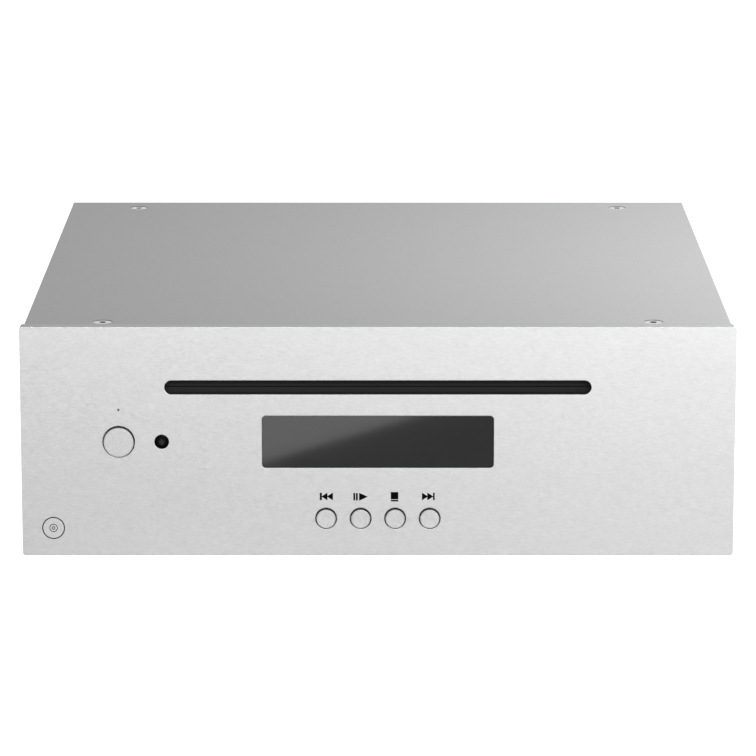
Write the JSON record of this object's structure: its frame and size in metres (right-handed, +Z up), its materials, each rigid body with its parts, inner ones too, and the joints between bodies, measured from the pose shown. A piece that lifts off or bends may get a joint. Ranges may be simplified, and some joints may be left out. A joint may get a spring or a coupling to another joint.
{
  "type": "compact disc player",
  "caption": "Compact slot-loading CD player with a metal case, display window, round buttons, disc loader and rear phono sockets.",
  "frame": {"origin": "on the floor under the middle of the whole object's box: midway between the panel's ends, and midway between the power button's face and the phono sockets' ends", "axes": "+X to the right seen from the front, +Y from the front panel to the rear sockets, +Z up"},
  "size_m": [0.206, 0.2208, 0.072],
  "materials": {
    "front_panel": "fine brushed and clear anodised",
    "top_cover": "smooth satin silver",
    "chassis_tray": "zinc plated sheet",
    "rear_panel": "satin silver",
    "cover_screws": "bright nickel plated",
    "case_screws": "bright nickel plated",
    "feet": "matt black",
    "slot_liner": "matt black",
    "dust_lips": "black felt",
    "display_window": "smoked, polished",
    "display_module": "dark display glass",
    "power_button": "clear anodised, turned",
    "transport_buttons": "clear anodised, turned",
    "ir_window": "infrared black, polished",
    "light_pipe": "smoked",
    "circuit_boards": "green solder mask",
    "black_housings": "moulded black",
    "connectors": "moulded ivory",
    "flat_cables": "flexible ribbon",
    "machine_screws": "zinc plated",
    "socket_sleeves": "gold plated",
    "socket_inserts": "moulded white",
    "capacitors": "shrink sleeve",
    "chips": "moulded epoxy",
    "loader_steel": "zinc plated sheet",
    "pillars": "turned",
    "rubber_parts": "matt black",
    "black_plastic": "moulded black",
    "motor_cans": "drawn, nickel plated",
    "gears": "moulded acetal",
    "pinions": "machined",
    "shafts": "ground steel",
    "lens": "coated",
    "pickup_body": "die cast metal, dark"
  },
  "bodies": {
    "case": {"front_panel": "front_panel", "top_cover": "top_cover", "chassis_tray": "chassis_tray", "rear_panel": "rear_panel", "cover_screws": "cover_screws", "case_screws": "case_screws", "feet": "feet", "slot_liner": "slot_liner", "dust_lips": "dust_lips", "display_window": "display_window", "display_module": "display_module", "ir_window": "ir_window", "light_pipe": "light_pipe", "front_board": "circuit_boards", "button_switches": "black_housings", "ir_receiver": "black_housings", "main_board": "circuit_boards", "servo_board": "circuit_boards", "board_screws": "machine_screws", "board_connectors": "connectors", "ribbon_cables": "flat_cables", "socket_housing": "black_housings", "socket_sleeves": "socket_sleeves", "socket_inserts": "socket_inserts", "power_inlet": "black_housings", "filter_capacitors": "capacitors", "converter_chips": "chips", "loader_frame": "loader_steel", "loader_pillars": "pillars", "isolation_grommets": "rubber_parts", "loader_screws": "machine_screws", "disc_guide": "black_plastic", "loading_motor": "motor_cans", "lift_motor": "motor_cans", "drive_belt": "rubber_parts"},
    "power_button": {"power_button": "power_button"},
    "previous_button": {"previous_button": "transport_buttons"},
    "play_pause_button": {"play_pause_button": "transport_buttons"},
    "stop_button": {"stop_button": "transport_buttons"},
    "next_button": {"next_button": "transport_buttons"},
    "cam_slider": {"cam_slider": "loader_steel"},
    "lift_gear": {"lift_gear": "gears"},
    "lift_pinion": {"lift_pinion": "pinions"},
    "roller_arm": {"roller_arm": "black_plastic"},
    "feed_roller": {"feed_roller": "rubber_parts", "roller_shaft": "shafts", "roller_gear": "gears"},
    "drive_pulley": {"drive_pulley": "gears"},
    "motor_pulley": {"motor_pulley": "gears"},
    "traverse": {"traverse_deck": "black_plastic", "guide_rods": "shafts", "spindle_motor": "motor_cans", "sled_motor": "motor_cans"},
    "turntable": {"turntable": "black_plastic"},
    "clamp_arm": {"clamp_arm": "loader_steel"},
    "disc_clamp": {"disc_clamp": "black_plastic"},
    "pickup_sled": {"pickup_sled": "pickup_body"},
    "pickup_lens": {"pickup_lens": "lens"},
    "sled_gear": {"sled_gear": "gears"},
    "sled_pinion": {"sled_pinion": "pinions"}
  },
  "joints": [
    {"name": "power_button_press", "type": "slide", "parent": "case", "child": "power_button", "axis": [0, 1, 0], "range_m": [0, 0.0008], "stiffness_N_per_m": 900, "springref_m": -0.0008},
    {"name": "previous_button_press", "type": "slide", "parent": "case", "child": "previous_button", "axis": [0, 1, 0], "range_m": [0, 0.0006], "stiffness_N_per_m": 900, "springref_m": -0.0006},
    {"name": "play_pause_button_press", "type": "slide", "parent": "case", "child": "play_pause_button", "axis": [0, 1, 0], "range_m": [0, 0.0006], "stiffness_N_per_m": 900, "springref_m": -0.0006},
    {"name": "stop_button_press", "type": "slide", "parent": "case", "child": "stop_button", "axis": [0, 1, 0], "range_m": [0, 0.0006], "stiffness_N_per_m": 900, "springref_m": -0.0006},
    {"name": "next_button_press", "type": "slide", "parent": "case", "child": "next_button", "axis": [0, 1, 0], "range_m": [0, 0.0006], "stiffness_N_per_m": 900, "springref_m": -0.0006},
    {"name": "cam_slide", "type": "slide", "parent": "case", "child": "cam_slider", "axis": [0, 1, 0], "range_m": [0, 0.012]},
    {"name": "lift_gear_spin", "type": "hinge", "parent": "case", "child": "lift_gear", "pos_m": [-0.0695, -0.0227, 0.0305], "axis": [1, 0, 0], "range_deg": [-200, 0]},
    {"name": "lift_pinion_spin", "type": "hinge", "parent": "case", "child": "lift_pinion", "pos_m": [-0.07, -0.0092, 0.0305], "axis": [1, 0, 0], "range_deg": [0, 570]},
    {"name": "traverse_lift", "type": "slide", "parent": "case", "child": "traverse", "axis": [0, 0, 1], "range_m": [0, 0.0045]},
    {"name": "roller_arm_tilt", "type": "hinge", "parent": "case", "child": "roller_arm", "pos_m": [0, -0.0773, 0.04495], "axis": [1, 0, 0], "range_deg": [0, 10]},
    {"name": "clamp_arm_tilt", "type": "hinge", "parent": "case", "child": "clamp_arm", "pos_m": [0, 0.0328, 0.0604], "axis": [1, 0, 0], "range_deg": [0, 1.5]},
    {"name": "roller_spin", "type": "hinge", "parent": "roller_arm", "child": "feed_roller", "pos_m": [0, -0.0897, 0.04945], "axis": [1, 0, 0], "continuous": true},
    {"name": "drive_pulley_spin", "type": "hinge", "parent": "roller_arm", "child": "drive_pulley", "pos_m": [0.066, -0.0773, 0.04495], "axis": [1, 0, 0], "continuous": true},
    {"name": "motor_pulley_spin", "type": "hinge", "parent": "case", "child": "motor_pulley", "pos_m": [0.07, -0.0572, 0.0305], "axis": [1, 0, 0], "continuous": true},
    {"name": "turntable_spin", "type": "hinge", "parent": "traverse", "child": "turntable", "pos_m": [0, -0.0332, 0.048], "axis": [0, 0, 1], "continuous": true},
    {"name": "disc_clamp_spin", "type": "hinge", "parent": "clamp_arm", "child": "disc_clamp", "pos_m": [0, -0.0332, 0.058], "axis": [0, 0, 1], "continuous": true},
    {"name": "sled_slide", "type": "slide", "parent": "traverse", "child": "pickup_sled", "axis": [0, 1, 0], "range_m": [0, 0.036]},
    {"name": "sled_gear_spin", "type": "hinge", "parent": "traverse", "child": "sled_gear", "pos_m": [0.031, -0.0092, 0.032], "axis": [0, 0, 1], "range_deg": [-520, 0]},
    {"name": "sled_pinion_spin", "type": "hinge", "parent": "traverse", "child": "sled_pinion", "pos_m": [0.0455, -0.0092, 0.031], "axis": [0, 0, 1], "range_deg": [0, 1630]},
    {"name": "lens_focus", "type": "slide", "parent": "pickup_sled", "child": "pickup_lens", "axis": [0, 0, 1], "range_m": [-0.0004, 0.0006], "stiffness_N_per_m": 20}
  ],
  "couplings": [
    {"joint": "lift_gear_spin", "follows": "cam_slide", "rad_per_m": -285.71},
    {"joint": "lift_pinion_spin", "follows": "cam_slide", "rad_per_m": 816.33},
    {"joint": "traverse_lift", "follows": "cam_slide", "ratio": 0.375},
    {"joint": "roller_arm_tilt", "follows": "cam_slide", "rad_per_m": 14.543},
    {"joint": "clamp_arm_tilt", "follows": "cam_slide", "rad_per_m": 2.1814},
    {"joint": "drive_pulley_spin", "follows": "roller_spin", "ratio": -0.83333},
    {"joint": "motor_pulley_spin", "follows": "roller_spin", "ratio": -3.0303},
    {"joint": "disc_clamp_spin", "follows": "turntable_spin", "ratio": 1},
    {"joint": "sled_gear_spin", "follows": "sled_slide", "rad_per_m": -250},
    {"joint": "sled_pinion_spin", "follows": "sled_slide", "rad_per_m": 785.71}
  ]
}
